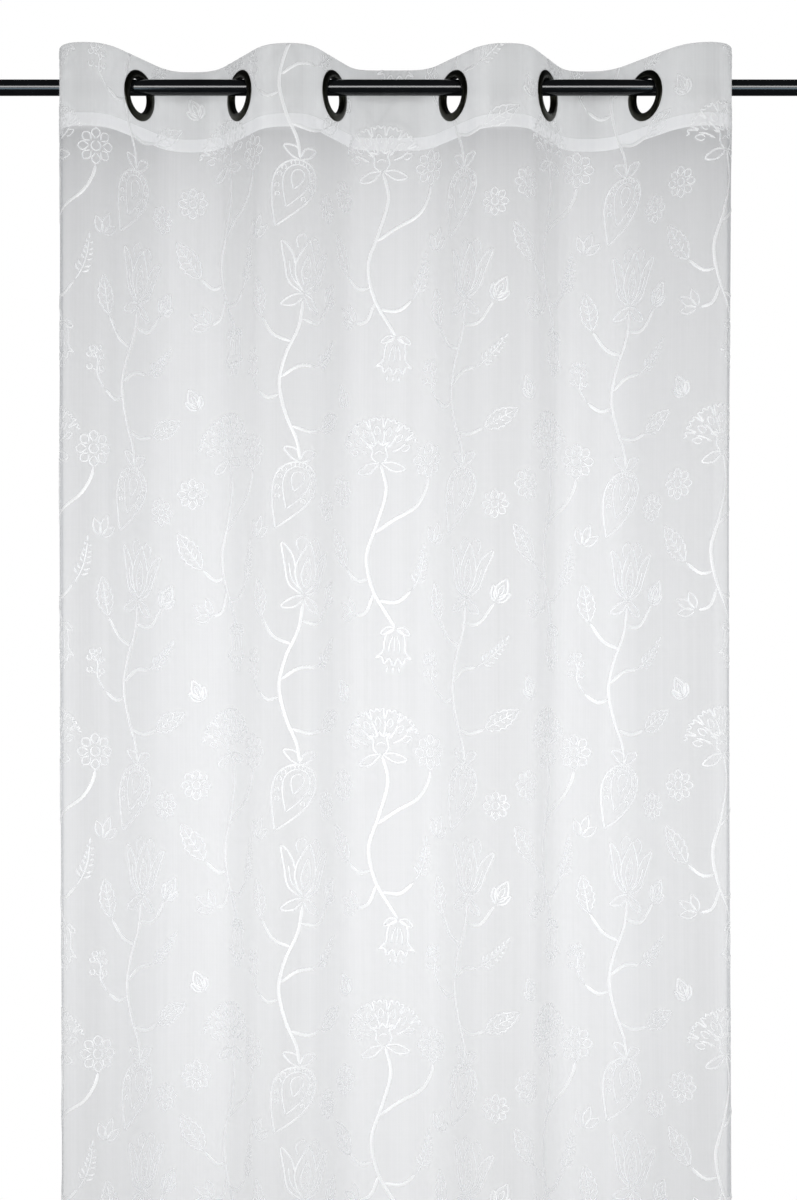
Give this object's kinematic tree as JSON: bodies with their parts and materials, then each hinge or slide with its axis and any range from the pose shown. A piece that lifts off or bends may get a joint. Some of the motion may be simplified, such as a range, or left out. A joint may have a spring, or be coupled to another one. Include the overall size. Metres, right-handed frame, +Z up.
{
  "type": "sheer voile eyelet curtain on a round curtain rod",
  "caption": "Sheer embroidered voile curtain hanging in soft wave folds from metal eyelets in a stiffened heading, on a plain round black rod.",
  "frame": {"origin": "on the rod's axis, midway along the rod", "axes": "+X along the rod to the right as seen from the room, +Y towards the wall, +Z up"},
  "size_m": [1.1, 0.1217, 2.4],
  "materials": {
    "rod": "gloss black lacquer",
    "heading": "doubled stiffened voile",
    "voile": "sheer plain-woven polyester with satin thread embroidery",
    "eyelets": "black nickel"
  },
  "bodies": {
    "root": {"rod": "rod", "heading": "heading", "voile_panel": "voile", "eyelet_1_front": "eyelets", "eyelet_1_back": "eyelets", "eyelet_2_front": "eyelets", "eyelet_2_back": "eyelets", "eyelet_3_front": "eyelets", "eyelet_3_back": "eyelets", "eyelet_4_front": "eyelets", "eyelet_4_back": "eyelets", "eyelet_5_front": "eyelets", "eyelet_5_back": "eyelets", "eyelet_6_front": "eyelets", "eyelet_6_back": "eyelets"}
  },
  "joints": []
}
